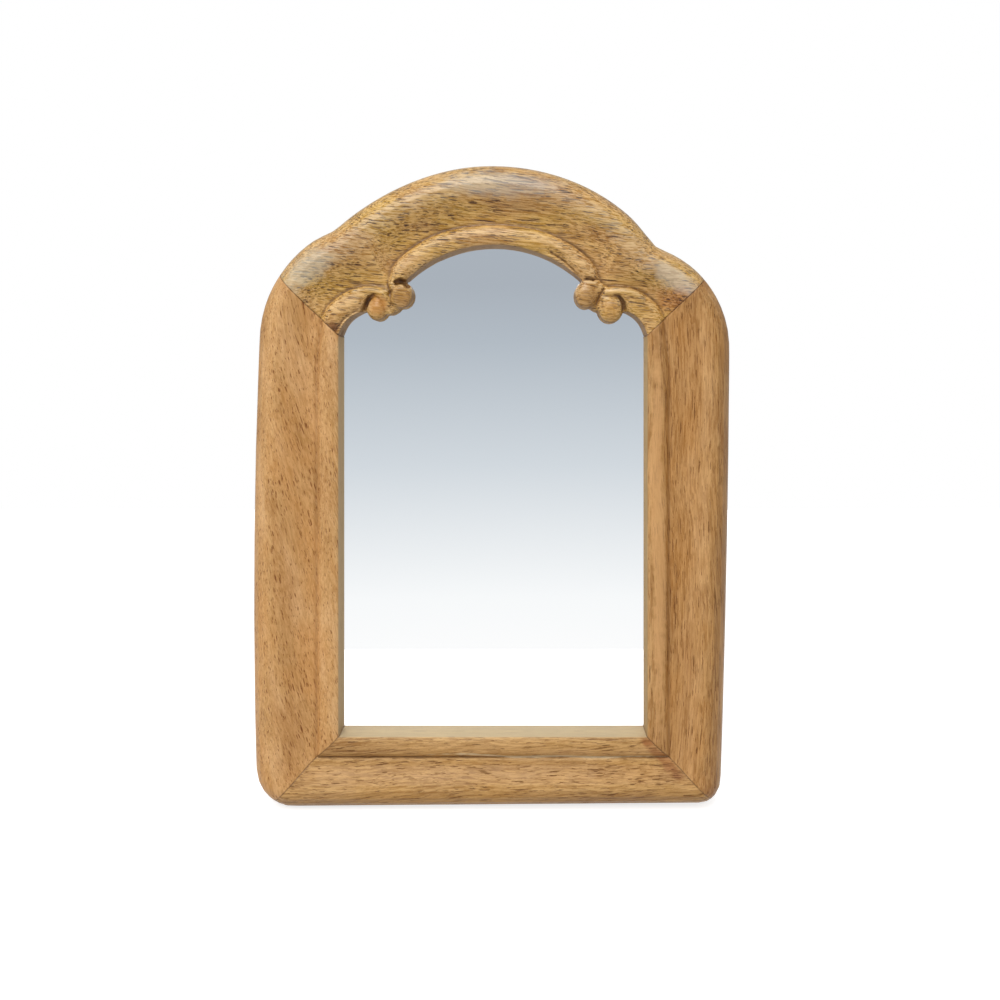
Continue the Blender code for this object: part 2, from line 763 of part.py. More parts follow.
def ring_part():
    """The D-ring, its origin on the bar that turns in the strap."""
    curve = bpy.data.curves.new("hanging_ring", "CURVE")
    curve.dimensions = "3D"
    curve.bevel_depth = ring_wire_radius
    curve.bevel_resolution = 2
    corner = ring_corner_radius
    bow = arc(Vector((0, -corner)), ring_reach - corner, math.pi, 2 * math.pi, turn_steps)
    right = arc(Vector((ring_reach - 2 * corner, -corner)), corner, 0, math.pi / 2, notch_steps)
    points = bow + right[1:] + mirrored(right, -1)[::-1][:-1]
    spline = curve.splines.new("POLY")
    spline.points.add(len(points) - 1)
    spline.use_cyclic_u = True
    for target, point in zip(spline.points, points):
        target.co = (point.x, 0, point.y, 1)
    curve.materials.append(brass_plate)
    ring = bpy.data.objects.new("hanging_ring", curve)
    parts.objects.link(ring)
    ring.location = at(Vector((ring_x, ring_z)), ring_depth)
    return ring


hanger_strap = strap_part()
hanging_ring = ring_part()

screw_point = Vector((ring_x, ring_z - (strap_foot_length + loop_outer_radius) / 2))
head_seat = seat_gap + strap_thickness + seat_gap
head_top = head_seat + screw_head_height
head_profile = [(0, head_top)]
for step in range(1, roundover_steps + 1):
    turn = math.pi / 2 * step / roundover_steps
    height = head_seat + screw_head_height * math.cos(turn)
    head_profile.append((screw_head_radius * math.sin(turn), height))
shank_end = head_top - screw_length
screw_profile = head_profile + [
    (screw_shank_radius, head_seat),
    (screw_shank_radius, shank_end + screw_point_length),
    (0, shank_end)]
screw_hole_profile = [
    (0, head_seat - seat_gap / 2),
    (screw_shank_radius + seat_gap, head_seat - seat_gap / 2),
    (screw_shank_radius + seat_gap, shank_end + screw_point_length - seat_gap),
    (0, shank_end - seat_gap)]
hanger_screw = turned("hanger_screw", screw_profile, bright_steel, steps=small_turn_steps)
screw_hole = turned("screw_hole", screw_hole_profile, guide=True, steps=small_turn_steps)
for thing in (hanger_screw, screw_hole):
    thing.location = at(screw_point, 0)
    thing.rotation_euler = (-math.pi / 2, 0, 0)
for thing in (top_rail, hanger_strap):
    combine(thing, screw_hole, "DIFFERENCE")
slot_half = Vector((screw_head_radius + seat_gap, screw_slot_width / 2))
slot_corners = [Vector((x, z)) for x, z in (
    (-slot_half.x, -slot_half.y), (slot_half.x, -slot_half.y),
    (slot_half.x, slot_half.y), (-slot_half.x, slot_half.y))]
driver_slot = prism("driver_slot", [screw_point + corner for corner in slot_corners],
                    -head_top - cutter_overrun, -head_top + screw_slot_depth, guide=True)
combine(hanger_screw, driver_slot, "DIFFERENCE")

for thing in parts.objects:
    if thing.type == "MESH":
        thing.data.shade_smooth()
        thing.data.set_sharp_from_angle(angle=crease_angle)
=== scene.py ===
"""Looks of a small arched wall mirror in a hand-carved hardwood frame."""
import math

import bpy
import numpy as np
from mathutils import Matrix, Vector


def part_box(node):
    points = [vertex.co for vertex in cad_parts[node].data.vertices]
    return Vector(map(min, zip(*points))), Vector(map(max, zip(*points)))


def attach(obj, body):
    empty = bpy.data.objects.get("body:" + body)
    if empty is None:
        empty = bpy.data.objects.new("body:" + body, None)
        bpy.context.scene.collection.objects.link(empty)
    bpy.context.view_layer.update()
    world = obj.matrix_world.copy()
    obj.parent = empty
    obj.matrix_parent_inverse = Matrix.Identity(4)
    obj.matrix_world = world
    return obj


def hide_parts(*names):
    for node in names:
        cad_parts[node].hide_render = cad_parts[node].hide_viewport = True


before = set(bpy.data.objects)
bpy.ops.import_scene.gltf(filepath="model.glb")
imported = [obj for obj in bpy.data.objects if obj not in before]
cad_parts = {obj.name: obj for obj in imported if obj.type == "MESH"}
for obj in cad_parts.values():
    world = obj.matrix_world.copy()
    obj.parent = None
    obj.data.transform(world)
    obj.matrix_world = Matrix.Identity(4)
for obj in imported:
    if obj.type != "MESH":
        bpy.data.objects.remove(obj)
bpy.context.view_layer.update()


# Left stile: pinkish tropical hardwood, planed and sanded by hand, mitred at
# both ends. It is glued and nailed to the rails, and its vessels run a little
# off its length, so they come to the face as short dashes and dots.
# Sizes are in metres, except where a comment says millimetres.
glass_front, glass_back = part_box("mirror_glass")
glass_middle = (glass_front.x + glass_back.x) / 2
# The sight opening: half its width, its sill and where its arch springs
half_sight = 0.04875
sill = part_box("bottom_rail")[1].z
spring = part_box("top_rail")[0].z
bottom_left = Vector((glass_middle - half_sight, 0, sill))
top_left = Vector((glass_middle - half_sight, 0, spring))
# The right lip and the left quirk were cut half a millimetre out of true:
# places across the frame, and how far each moved
hand_lines = (-0.066, -0.056, -0.0495, 0.044, 0.0495, 0.056, 0.064)
hand_drift = (0, -0.0005, 0, 0, -0.0006, -0.0003, 0)
# A mitre is a corner of the sight opening and the way that the member's end looks
diagonal = math.sqrt(0.5)
left_mitres = (
    (bottom_left, Vector((diagonal, 0, -diagonal))),
    (top_left, Vector((diagonal, 0, diagonal))))
backwards = Vector((0, 1, 0))
# A face lies in a plane if it is this near, and the cosine between their normals
# is at least this
touching = 0.0006
alike = 0.99
# What turns metres into millimetres
in_mm = 1000


def push_faces(piece, point, way, distance):
    """In edit mode, move the faces that look one way and lie in the plane through a point."""
    bpy.ops.mesh.select_all(action="DESELECT")
    bpy.ops.object.mode_set(mode="OBJECT")
    for face in piece.data.polygons:
        off_plane = (face.center - point).dot(way)
        face.select = face.normal.dot(way) > alike and abs(off_plane) < touching
    bpy.ops.object.mode_set(mode="EDIT")
    bpy.ops.transform.translate(value=way * distance)


def reskin(piece, grid):
    """Give a piece one even skin, its squares as wide as the grid."""
    skin = piece.modifiers.new("skin", "REMESH")
    skin.mode = "VOXEL"
    skin.voxel_size = grid
    bpy.ops.object.modifier_apply(modifier="skin")


def read_rows(block, field):
    """One field of three numbers, a row for each vertex."""
    values = np.empty(len(block) * 3, np.float32)
    block.foreach_get(field, values)
    return values.reshape(-1, 3)


def carve(piece, strokes):
    """Cut a piece's front with gouge strokes.

    A stroke is a kind, a half width and a path of (x, z, height above the back), all
    in millimetres.
    """
    mesh = piece.data
    places = read_rows(mesh.vertices, "co")
    facing_back = read_rows(mesh.vertex_normals, "vector")[:, 1]
    # A ridge stands on what faces forward, and the rest cuts all but the back
    looks_forward = np.clip(-facing_back * 4, 0, 1)
    not_behind = np.clip(0.5 - facing_back * 2, 0, 1)
    flat_places = places[:, [0, 2]] * in_mm
    back = places[:, 1].max() * in_mm
    height = back - places[:, 1] * in_mm
    for kind, half_width, path in strokes:
        nearest = np.full(len(places), np.inf)
        level = np.zeros(len(places))
        for start, end in zip(path, path[1:]):
            run = np.subtract(end, start)[:2]
            offset = flat_places - start[:2]
            along = offset @ run / (run @ run)
            # A facet is a disc round the middle of a slope that runs on past its ends
            if kind == "flat":
                gap = np.linalg.norm(offset - run / 2, axis=1)
            else:
                along = np.clip(along, 0, 1)
                gap = np.linalg.norm(offset - along[:, None] * run, axis=1)
            closer = gap < nearest
            level[closer] = start[2] + (end[2] - start[2]) * along[closer]
            nearest = np.minimum(nearest, gap)
        reach = np.clip(nearest / half_width, 0, 1)
        half_round = half_width * (1 - np.sqrt(1 - reach ** 2))
        quarter_round = half_width * (1 - np.sqrt(1 - (1 - reach) ** 2))
        if kind == "ridge":
            target = np.maximum(height, level - half_round)
        elif kind == "hollow":
            target = np.minimum(height, level + half_round)
        elif kind == "round":
            target = np.minimum(height, level - quarter_round)
        else:
            target = np.minimum(height, level)
        share = looks_forward if kind == "ridge" else not_behind
        height = np.where(nearest < half_width, height + (target - height) * share, height)
    places[:, 1] = (back - height) / in_mm
    mesh.vertices.foreach_set("co", places.ravel())
    mesh.update()


def smoothed_places(piece, rounds):
    """Where a trial smoothing of so many rounds would bring each vertex."""
    trial = piece.modifiers.new("trial", "SMOOTH")
    trial.factor = 0.5
    trial.iterations = rounds
    seen = piece.evaluated_get(bpy.context.evaluated_depsgraph_get())
    places = read_rows(seen.to_mesh().vertices, "co")
    seen.to_mesh_clear()
    piece.modifiers.remove(trial)
    return places


def store_marks(mesh, marks):
    """Even each mark out over a vertex's neighbours, three times, and store it."""
    count = len(mesh.vertices)
    ends = np.empty(len(mesh.edges) * 2, np.int32)
    mesh.edges.foreach_get("vertices", ends)
    one, other = ends[0::2], ends[1::2]
    neighbours = np.bincount(one, minlength=count) + np.bincount(other, minlength=count)
    for mark, value in marks.items():
        for _ in range(3):
            around = np.bincount(one, value[other], count) + np.bincount(other, value[one], count)
            value = (value + around / np.maximum(neighbours, 1)) / 2
        mesh.attributes.new(mark, "FLOAT", "POINT").data.foreach_set("value", value.astype(np.float32))


# The squares of a member's skin, but for one that needs finer ones
usual_grid = 0.0003
# Rounds of trial smoothing that find its creases, and its hollows and crowns
crease_rounds, cove_rounds = 14, 150
# This near a mitre no arris is chafed, and no hollow or crown counts in full
closed_arris = 0.0012
cove_fade = 0.005
# The middle of the sight opening
opening_middle = (glass_middle, 0, 0.1)


def mark_wear_and_shade(piece, mitres, grid):
    """Mark a member's creases, hollows, raw walls, sharp arrises and joints.

    What a little smoothing would fill is a crease, and what a lot would fill is a
    hollow, or a crown where it is below zero. Both are in millimetres, and so is how
    far it is from each joint.
    """
    places = read_rows(piece.data.vertices, "co")
    normals = read_rows(piece.data.vertex_normals, "vector")
    marks = {}
    for mark, rounds in (("crease", crease_rounds), ("cove", cove_rounds)):
        moved = smoothed_places(piece, round(rounds * (usual_grid / grid) ** 2)) - places
        marks[mark] = (moved * normals).sum(1) * in_mm
    # A wall that looks into the sight opening is raw from the saw
    inward = np.array(opening_middle, np.float32) - places
    inward[:, 1] = 0
    inward /= np.linalg.norm(inward, axis=1)[:, None] + 1e-6
    upright = np.clip((0.6 - np.abs(normals[:, 1])) / 0.25, 0, 1)
    marks["sawn"] = upright * ((inward * normals).sum(1) > 0.25)
    # A sharp arris is chafed, but not where it is closed in a mitre
    marks["arris"] = np.clip(-marks["crease"], 0, 1)
    true_places = places.copy()
    true_places[:, 0] -= np.interp(places[:, 0], np.add(hand_lines, hand_drift), hand_drift)
    for at, (corner, way) in enumerate(mitres):
        from_joint = (true_places - np.array(corner)) @ np.array(way)
        marks["joint_%d" % at] = from_joint * in_mm
        marks["arris"] *= np.abs(from_joint) > closed_arris
        marks["cove"] *= np.clip(np.abs(from_joint) / cove_fade, 0, 1)
    store_marks(piece.data, marks)


# How far a member runs on past its mitre, into the next, so that no slit shows
mitre_overlap = 0.0003
# How far the lip's back is moved, to the glass and a little into it
lip_drop = 0.0006
most_triangles = 190000


def sanded_member(name, node_name, mitres, sanding_rounds, strokes=(), grid=usual_grid):
    """A carved and sanded copy of a member, with the marks that its wear and its painted shade and sheen
    follow.
    """
    piece = bpy.data.objects.new(name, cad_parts[node_name].data.copy())
    bpy.context.collection.objects.link(piece)
    bpy.ops.object.select_all(action="DESELECT")
    piece.select_set(True)
    bpy.context.view_layer.objects.active = piece
    bpy.ops.object.mode_set(mode="EDIT")
    bpy.ops.mesh.select_mode(type="FACE")
    bpy.ops.mesh.select_all(action="SELECT")
    bpy.ops.mesh.remove_doubles(threshold=0.00001)
    for corner, way in mitres:
        push_faces(piece, corner, way, mitre_overlap)
    push_faces(piece, glass_front, backwards, lip_drop)
    bpy.ops.object.mode_set(mode="OBJECT")
    reskin(piece, grid)
    if strokes:
        carve(piece, strokes)
        reskin(piece, grid)
    # What the hand cut out of true
    places = read_rows(piece.data.vertices, "co")
    places[:, 0] += np.interp(places[:, 0], hand_lines, hand_drift)
    piece.data.vertices.foreach_set("co", places.ravel())
    sanding = piece.modifiers.new("sanding", "SMOOTH")
    sanding.factor = 0.5
    sanding.iterations = sanding_rounds
    bpy.ops.object.modifier_apply(modifier="sanding")
    mark_wear_and_shade(piece, mitres, grid)
    thin = piece.modifiers.new("thin", "DECIMATE")
    thin.ratio = min(1, most_triangles / (len(piece.data.polygons) * 2))
    bpy.ops.object.modifier_apply(modifier="thin")
    bpy.ops.object.shade_smooth()
    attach(piece, "frame")
    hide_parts(node_name)
    return piece


def linear(hex_colour):
    """A colour written in sRGB hex, as linear light; the numbers are the sRGB standard's."""
    shares = [int(hex_colour[at:at + 2], 16) / 255 for at in (1, 3, 5)]
    return [c / 12.92 if c <= 0.04045 else ((c + 0.055) / 1.055) ** 2.4 for c in shares] + [1]


def put(tree, kind, inputs=(), **settings):
    """Add a node to a tree, with its settings, its values and its links."""
    node = tree.nodes.new("ShaderNode" + kind)
    for setting, value in settings.items():
        setattr(node, setting, value)
    for key, value in dict(inputs).items():
        if isinstance(value, bpy.types.NodeSocket):
            tree.links.new(value, node.inputs[key])
        else:
            node.inputs[key].default_value = value
    return node


def new_material(name):
    """A material with its tree, its shader and the place on the piece, in metres."""
    material = bpy.data.materials.new(name)
    material.use_nodes = True
    tree = material.node_tree
    return material, tree, tree.nodes["Principled BSDF"], put(tree, "TexCoord").outputs["Object"]


def dress(piece, material):
    """Give a piece one material."""
    piece.data.materials.clear()
    piece.data.materials.append(material)


# A colour mix's sockets have names that others share, so they are reached by number
share_in, under_in, over_in, mix_out = 0, 6, 7, 2


def grain_space(tree, place, turn, cut):
    """The places of a piece in its board: first as the wood grew, then with the grain along X."""
    # The grain wanders about a millimetre in four centimetres
    sway = put(tree, "TexNoise", {"Vector": place, "Scale": 24, "Detail": 1})
    centred = put(tree, "VectorMath", {0: sway.outputs["Color"], 1: (0.5, 0.5, 0.5)}, operation="SUBTRACT")
    drift = put(tree, "VectorMath", {0: centred.outputs[0], 1: (0.005, 0.0016, 0.005)}, operation="MULTIPLY")
    swayed = put(tree, "VectorMath", {0: place, 1: drift.outputs[0]}, operation="ADD")
    # Torn fibres make every line ragged by a tenth of a millimetre
    tear = put(tree, "TexNoise", {"Vector": place, "Scale": 900, "Detail": 2})
    torn = put(tree, "VectorMath", {0: tear.outputs["Color"], 1: (0.0003, 0.0003, 0.0003)},
               operation="MULTIPLY")
    bent = put(tree, "VectorMath", {0: swayed.outputs[0], 1: torn.outputs[0]}, operation="ADD")
    turned = [math.radians(angle) for angle in turn]
    grain = put(tree, "Mapping", {"Vector": bent.outputs[0], "Rotation": turned, "Location": cut})
    return swayed.outputs[0], grain.outputs[0]


def grown_colour(tree, grain, tones, warm, heart):
    """The bands' pattern, and the colour of the bands with patches and streaks over them."""
    # Growth bands, 7 mm wide and ten times as long
    wide = put(tree, "Mapping", {"Vector": grain, "Scale": (14, 140, 140)})
    bands = put(tree, "TexNoise", {"Vector": wide.outputs[0], "Scale": 1, "Detail": 5, "Roughness": 0.62})
    body = put(tree, "ValToRGB", {0: bands.outputs[0]})
    dark, middle, pale = tones
    ramp = body.color_ramp
    ramp.elements[0].position, ramp.elements[0].color = 0.34, linear(dark)
    ramp.elements[1].position, ramp.elements[1].color = 0.66, linear(pale)
    ramp.elements.new(0.5).color = linear(middle)
    # Patches that took the oil more warmly
    patch = put(tree, "Mapping", {"Vector": grain, "Scale": (40, 110, 110)})
    oiling = put(tree, "TexNoise", {"Vector": patch.outputs[0], "Scale": 1, "Detail": 3})
    took_oil = put(tree, "MapRange", {
        "Value": oiling.outputs[0], "From Min": 0.45, "From Max": 0.65, "To Min": 0, "To Max": 0.75})
    warmed = put(tree, "Mix", {
        share_in: took_oil.outputs[0], under_in: body.outputs[0], over_in: linear(warm)}, data_type="RGBA")
    # Heartwood streaks, darker than the rest
    streak = put(tree, "MapRange", {
        "Value": oiling.outputs[0], "From Min": 0.47, "From Max": 0.32, "To Min": 0, "To Max": 0.55})
    toned = put(tree, "Mix", {
        share_in: streak.outputs[0], under_in: warmed.outputs[mix_out], over_in: linear(heart)},
        data_type="RGBA")
    return bands.outputs[0], toned.outputs[mix_out]


def cut_vessels(tree, grain, bands, light, colour, vessel, vessel_sets):
    """Vessels over a colour, and how deep they are.

    In each set one starts every so many millimetres along and across the grain,
    and a reach of 0.5 would let it touch the next.
    """
    crowd = put(tree, "MapRange", {
        "Value": bands, "From Min": 0.35, "From Max": 0.65, "To Min": 1.25, "To Max": 0.8})
    pores = None
    for span, across, reach in vessel_sets:
        per_metre = (in_mm / span, in_mm / across, in_mm / across)
        lattice = put(tree, "Mapping", {"Vector": grain, "Scale": per_metre})
        cells = put(tree, "TexVoronoi", {"Vector": lattice.outputs[0], "Scale": 1, "Randomness": 1})
        lot = put(tree, "SeparateColor", {0: cells.outputs["Color"]})
        size = put(tree, "Math", {0: lot.outputs[0], 1: reach * 0.6, 2: reach * 0.4},
                   operation="MULTIPLY_ADD")
        outer = put(tree, "Math", {0: size.outputs[0], 1: crowd.outputs[0]}, operation="MULTIPLY")
        inner = put(tree, "Math", {0: outer.outputs[0], 1: 0.55}, operation="MULTIPLY")
        hole = put(tree, "MapRange", {
            "Value": cells.outputs["Distance"], "From Min": outer.outputs[0], "From Max": inner.outputs[0]},
            interpolation_type="SMOOTHSTEP")
        # No two are as dark, and the fibres over them break them up
        lot_depth = put(tree, "Math", {0: lot.outputs[1], 1: 0.6, 2: 0.4}, operation="MULTIPLY_ADD")
        lined = put(tree, "MapRange", {"Value": light, "To Min": 1.1, "To Max": 0.75})
        tone = put(tree, "Math", {0: lot_depth.outputs[0], 1: lined.outputs[0]}, operation="MULTIPLY")
        dark = put(tree, "Math", {0: hole.outputs[0], 1: tone.outputs[0]},
                   operation="MULTIPLY", use_clamp=True)
        veined = put(tree, "Mix", {
            share_in: dark.outputs[0], under_in: colour, over_in: linear(vessel)}, data_type="RGBA")
        colour = veined.outputs[mix_out]
        if pores is None:
            pores = dark.outputs[0]
        else:
            pores = put(tree, "Math", {0: pores, 1: dark.outputs[0]}, operation="MAXIMUM").outputs[0]
    return colour, pores


def wear_and_painted_light(tree, place, uneven, light, colour, crease_dirt_and_shade, shade, rub_and_sheen, rub_and_sheen_colour, sheen_haze):
    """Painted shade and old polish in the hollows, dirt and painted shade in the creases, crowns rubbed pale
    and given a painted sheen where they face up, where given a painted sheen along the highest ridge, and
    arrises rubbed pale.
    """
    # Hollows darkened: painted shade, with old polish in them
    cove = put(tree, "Attribute", attribute_name="cove")
    hollow = put(tree, "MapRange", {
        "Value": cove.outputs["Fac"], "From Min": 0.03, "From Max": 0.4, "To Min": 0, "To Max": shade})
    shaded_hollows = put(tree, "Mix", {
        share_in: hollow.outputs[0], under_in: colour, over_in: linear("#7A5228")}, data_type="RGBA")
    # Creases darkened by dirt and by painted shade
    crease = put(tree, "Attribute", attribute_name="crease")
    groove = put(tree, "MapRange", {
        "Value": crease.outputs["Fac"], "From Min": 0.01, "From Max": 0.08, "To Min": 0, "To Max": crease_dirt_and_shade})
    darkened_crease = put(tree, "Math", {0: groove.outputs[0], 1: uneven}, operation="MULTIPLY", use_clamp=True)
    dirty_and_shaded = put(tree, "Mix", {
        share_in: darkened_crease.outputs[0], under_in: shaded_hollows.outputs[mix_out], over_in: linear("#54351A")},
        data_type="RGBA")
    # Crowns are rubbed pale along their fibres where cloths and hands reach them,
    # and above all where they face up, where the pale is also a painted sheen
    crown = put(tree, "MapRange", {
        "Value": cove.outputs["Fac"], "From Min": -0.01, "From Max": -0.2, "To Min": 0, "To Max": rub_and_sheen})
    streaked = put(tree, "Math", {0: light, 1: 1.2, 2: 0.3}, operation="MULTIPLY_ADD")
    rubbed_and_sheened = put(tree, "Math", {0: crown.outputs[0], 1: streaked.outputs[0]},
                  operation="MULTIPLY", use_clamp=True)
    facing = put(tree, "SeparateXYZ", {0: put(tree, "NewGeometry").outputs["Normal"]})
    sheen_facing_up = put(tree, "MapRange", {
        "Value": facing.outputs["Z"], "From Min": -0.15, "From Max": 0.3, "To Min": 0.2, "To Max": 1})
    rub_and_sheen_share = put(tree, "Math", {0: rubbed_and_sheened.outputs[0], 1: sheen_facing_up.outputs[0]}, operation="MULTIPLY")
    worn_shaded_and_sheened = put(tree, "Mix", {
        share_in: rub_and_sheen_share.outputs[0], under_in: dirty_and_shaded.outputs[mix_out], over_in: linear(rub_and_sheen_colour)},
        data_type="RGBA")
    # A painted whitish sheen along the highest ridge, less where it turns over
    if sheen_haze:
        sheen_haze_share, sheen_haze_colour = sheen_haze
        level = put(tree, "SeparateXYZ", {0: place})
        highest = put(tree, "MapRange", {
            "Value": level.outputs["Y"], "From Min": -0.0105, "From Max": -0.0119,
            "To Min": 0, "To Max": sheen_haze_share}, interpolation_type="SMOOTHSTEP")
        turned = put(tree, "MapRange", {
            "Value": facing.outputs["Z"], "From Min": 0.15, "From Max": 0.45, "To Min": 1, "To Max": 0.2})
        painted_sheen = put(tree, "Math", {0: highest.outputs[0], 1: turned.outputs[0]}, operation="MULTIPLY")
        streaked_sheen = put(tree, "Math", {0: painted_sheen.outputs[0], 1: streaked.outputs[0]},
                    operation="MULTIPLY", use_clamp=True)
        worn_shaded_and_sheened = put(tree, "Mix", {
            share_in: streaked_sheen.outputs[0], under_in: worn_shaded_and_sheened.outputs[mix_out], over_in: linear(sheen_haze_colour)},
            data_type="RGBA")
    # Sharp arrises lost their oil
    arris = put(tree, "Attribute", attribute_name="arris")
    sharp = put(tree, "MapRange", {
        "Value": arris.outputs["Fac"], "From Min": 0.07, "From Max": 0.2, "To Min": 0, "To Max": 0.5})
    chafed = put(tree, "Math", {0: sharp.outputs[0], 1: uneven}, operation="MULTIPLY", use_clamp=True)
    pale = put(tree, "Mix", {
        share_in: chafed.outputs[0], under_in: worn_shaded_and_sheened.outputs[mix_out], over_in: linear("#DCC49A")},
        data_type="RGBA")
    return pale.outputs[mix_out]


def oiled_hardwood(name, turn, cut, tones, warm, heart, fibre_tones, fibre_share, vessel, vessel_sets,
                   crease_dirt_and_shade, shade, rub_and_sheen, rub_and_sheen_colour, raw, roughness, varnish, sheen_haze=None, stains=()):
    """Sanded and oiled hardwood, soft to the eye: its gloss is low and its vessels are open.

    The turn of its grain is in degrees and the cut is where in the board it lies. A stain
    is how it blends, its middle, its lean in degrees, its half size, its colour and its share.
    """
    wood, tree, shader, place = new_material(name)
    swayed, grain = grain_space(tree, place, turn, cut)
    bands, colour = grown_colour(tree, grain, tones, warm, heart)
    # Fibres, 0.5 mm wide, coarser than the real ones so that they show
    thread = put(tree, "Mapping", {"Vector": grain, "Scale": (95, 2000, 2000)})
    fibres = put(tree, "TexNoise", {"Vector": thread.outputs[0], "Scale": 1, "Detail": 3, "Roughness": 0.7})
    light = put(tree, "MapRange", {
        "Value": fibres.outputs[0], "From Min": 0.4, "From Max": 0.6, "To Min": 0, "To Max": 1}).outputs[0]
    dark_fibre, pale_fibre = fibre_tones
    strand = put(tree, "Mix", {
        share_in: light, under_in: linear(dark_fibre), over_in: linear(pale_fibre)}, data_type="RGBA")
    fibred = put(tree, "Mix", {
        share_in: fibre_share, under_in: colour, over_in: strand.outputs[mix_out]}, data_type="RGBA")
    veined, pores = cut_vessels(tree, grain, bands, light, fibred.outputs[mix_out], vessel, vessel_sets)
    # Dirt, wear and the painted shade in the creases come in blots, 3 mm wide
    blot = put(tree, "TexNoise", {"Vector": place, "Scale": 350, "Detail": 3})
    uneven = put(tree, "MapRange", {
        "Value": blot.outputs[0], "From Min": 0.3, "From Max": 0.7, "To Min": 0.5, "To Max": 1.1}).outputs[0]
    worn_shaded_and_sheened = wear_and_painted_light(tree, place, uneven, light, veined, crease_dirt_and_shade, shade, rub_and_sheen, rub_and_sheen_colour, sheen_haze)
    # The lip's wall was sawn and never oiled
    sawn = put(tree, "Attribute", attribute_name="sawn")
    bare = put(tree, "Math", {0: sawn.outputs["Fac"], 1: 0.8}, operation="MULTIPLY", use_clamp=True)
    finish = put(tree, "Mix", {
        share_in: bare.outputs[0], under_in: worn_shaded_and_sheened, over_in: linear(raw)}, data_type="RGBA").outputs[mix_out]
    # Glue and dust make a thin dark line of each mitre
    for mark in ("joint_0", "joint_1"):
        joint = put(tree, "Attribute", attribute_name=mark)
        apart = put(tree, "Math", {0: joint.outputs["Fac"]}, operation="ABSOLUTE")
        line = put(tree, "MapRange", {
            "Value": apart.outputs[0], "From Min": 0.28, "From Max": 0.08, "To Min": 0, "To Max": 0.75})
        broken = put(tree, "Math", {0: line.outputs[0], 1: uneven}, operation="MULTIPLY", use_clamp=True)
        finish = put(tree, "Mix", {
            share_in: broken.outputs[0], under_in: finish, over_in: linear("#5C3E24")},
            data_type="RGBA").outputs[mix_out]
    # Stains and other marks in one place, each a soft blob with a ragged edge
    for blend, centre, lean, size, stain_colour, stain_share in stains:
        away = put(tree, "VectorMath", {0: swayed, 1: centre}, operation="SUBTRACT")
        leant = put(tree, "VectorRotate", {"Vector": away.outputs[0], "Angle": math.radians(lean)},
                    rotation_type="Y_AXIS")
        scaled = put(tree, "VectorMath", {0: leant.outputs[0], 1: size}, operation="DIVIDE")
        far = put(tree, "VectorMath", {0: scaled.outputs[0]}, operation="LENGTH")
        ragged = put(tree, "Math", {0: blot.outputs[0], 1: 0.9, 2: far.outputs["Value"]},
                     operation="MULTIPLY_ADD")
        stain = put(tree, "MapRange", {
            "Value": ragged.outputs[0], "From Min": 1.45, "From Max": 1.0,
            "To Min": 0, "To Max": stain_share})
        finish = put(tree, "Mix", {
            share_in: stain.outputs[0], under_in: finish, over_in: linear(stain_colour)},
            data_type="RGBA", blend_type=blend).outputs[mix_out]
    tree.links.new(finish, shader.inputs["Base Color"])
    # Open vessels and sawn walls are duller than the polished fibres
    polish = put(tree, "MapRange", {
        "Value": fibres.outputs[0], "From Min": 0.3, "From Max": 0.7,
        "To Min": roughness - 0.08, "To Max": roughness + 0.1})
    dull = put(tree, "Math", {0: pores, 1: 0.25, 2: polish.outputs[0]}, operation="MULTIPLY_ADD")
    dry = put(tree, "Math", {0: sawn.outputs["Fac"], 1: 0.4, 2: dull.outputs[0]}, operation="MULTIPLY_ADD")
    tree.links.new(dry.outputs[0], shader.inputs["Roughness"])
    # Tool marks, 7 mm wide, and on them the fibres and the vessels
    knife = put(tree, "TexNoise", {"Vector": place, "Scale": 140, "Detail": 2})
    tooled = put(tree, "Bump", {"Strength": 0.5, "Distance": 0.0006, "Height": knife.outputs[0]})
    ridge = put(tree, "Math", {0: fibres.outputs[0], 1: 0.5}, operation="MULTIPLY")
    depth = put(tree, "Math", {0: ridge.outputs[0], 1: pores}, operation="SUBTRACT")
    relief = put(tree, "Bump", {
        "Strength": 0.5, "Distance": 0.00014, "Height": depth.outputs[0], "Normal": tooled.outputs[0]})
    tree.links.new(relief.outputs[0], shader.inputs["Normal"])
    tree.links.new(relief.outputs[0], shader.inputs["Coat Normal"])
    shader.inputs["Specular IOR Level"].default_value = 0.25
    shader.inputs["Coat Weight"].default_value = varnish
    shader.inputs["Coat Roughness"].default_value = 0.3
    return wood


# The left stile itself, its arrises softened by five rounds of sanding
left_stile = sanded_member("left_stile_sanded", "left_stile", left_mitres, sanding_rounds=5)
pink_wood = oiled_hardwood(
    "pinkish_sanded_hardwood", turn=(0, 100, 13), cut=(0.3, 0.1, 0.7),
    tones=("#A67A46", "#BE905A", "#D4A877"), warm="#BC864B", heart="#A4723E",
    fibre_tones=("#9A6930", "#D8A870"), fibre_share=0.32,
    vessel="#74401A", vessel_sets=((16, 0.7, 0.34), (5, 0.7, 0.3), (2.5, 0.45, 0.28)),
    crease_dirt_and_shade=0.3, shade=0.1, rub_and_sheen=0.3, rub_and_sheen_colour="#E0C48E", raw="#B29C78", roughness=0.5, varnish=0.05)
dress(left_stile, pink_wood)

